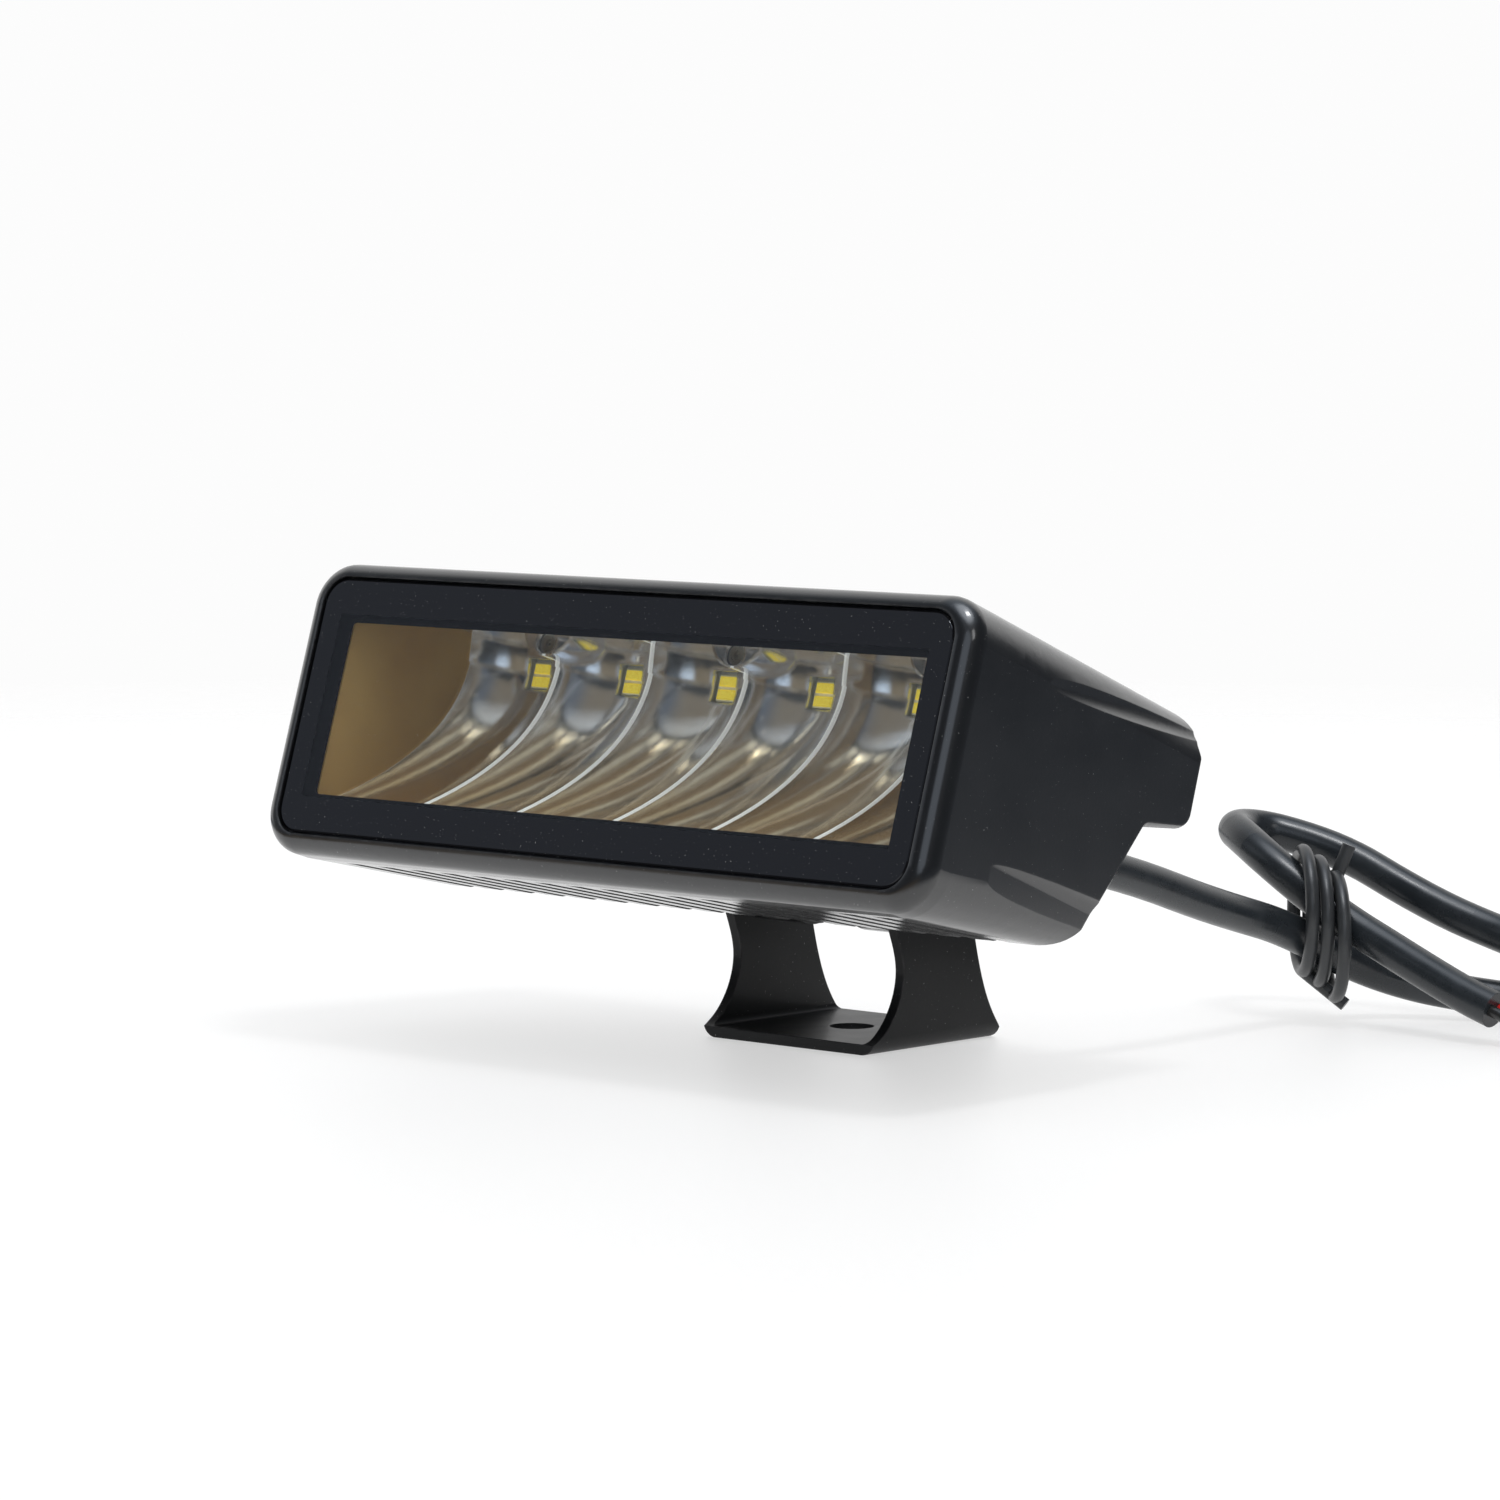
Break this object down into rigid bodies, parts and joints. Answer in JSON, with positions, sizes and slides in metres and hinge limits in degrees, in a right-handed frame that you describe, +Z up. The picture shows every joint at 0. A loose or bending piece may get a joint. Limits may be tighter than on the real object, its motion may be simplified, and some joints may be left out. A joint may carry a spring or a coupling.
{
  "type": "fog light",
  "caption": "Slim rectangular LED fog light with a finned die-cast head that tilts in a U-shaped foot, with its cable coiled behind.",
  "frame": {"origin": "middle of the foot's bolt hole, on the foot's underside", "axes": "+Z up, the light shines towards -Y, +X to the right seen from the front"},
  "size_m": [0.2131, 0.1908, 0.0882],
  "materials": {
    "black_coat": "satin",
    "black_steel": "satin",
    "glass": "polished",
    "mask": "matte",
    "silicone": "matte",
    "mirror_coat": "polished",
    "zinc_steel": "satin",
    "stainless": "satin",
    "board_white": "satin",
    "board_green": "satin",
    "led_white": "gloss",
    "phosphor": "gloss",
    "pad_grey": "matte",
    "ferrite": "matte",
    "can": "satin",
    "chip": "matte",
    "cable_black": "satin",
    "core_red": "satin",
    "core_black": "satin",
    "copper": "satin"
  },
  "bodies": {
    "foot": {"mounting_bracket": "black_steel"},
    "head": {"housing": "black_coat", "front_lens": "glass", "lens_mask": "mask", "lens_seal": "silicone", "reflector": "mirror_coat", "reflector_screws": "zinc_steel", "led_board": "board_white", "led_packages": "led_white", "led_phosphors": "phosphor", "board_screws": "zinc_steel", "thermal_pad": "pad_grey", "driver_board": "board_green", "driver_screws": "zinc_steel", "driver_inductor": "ferrite", "driver_capacitors": "can", "driver_chips": "chip", "link_wires": "core_red", "cable_gland": "silicone", "breather_vent": "mask", "pivot_bolts": "stainless", "pivot_spring_washers": "stainless", "pivot_flat_washers": "stainless", "cable": "cable_black", "wire_red": "core_red", "wire_black": "core_black", "wire_strands": "copper", "cable_tie": "cable_black"}
  },
  "joints": [
    {"name": "head_tilt", "type": "hinge", "parent": "foot", "child": "head", "pos_m": [0, -0.00256, 0.0302], "axis": [-1, 0, 0], "range_deg": [-52.5, 27.5]}
  ]
}
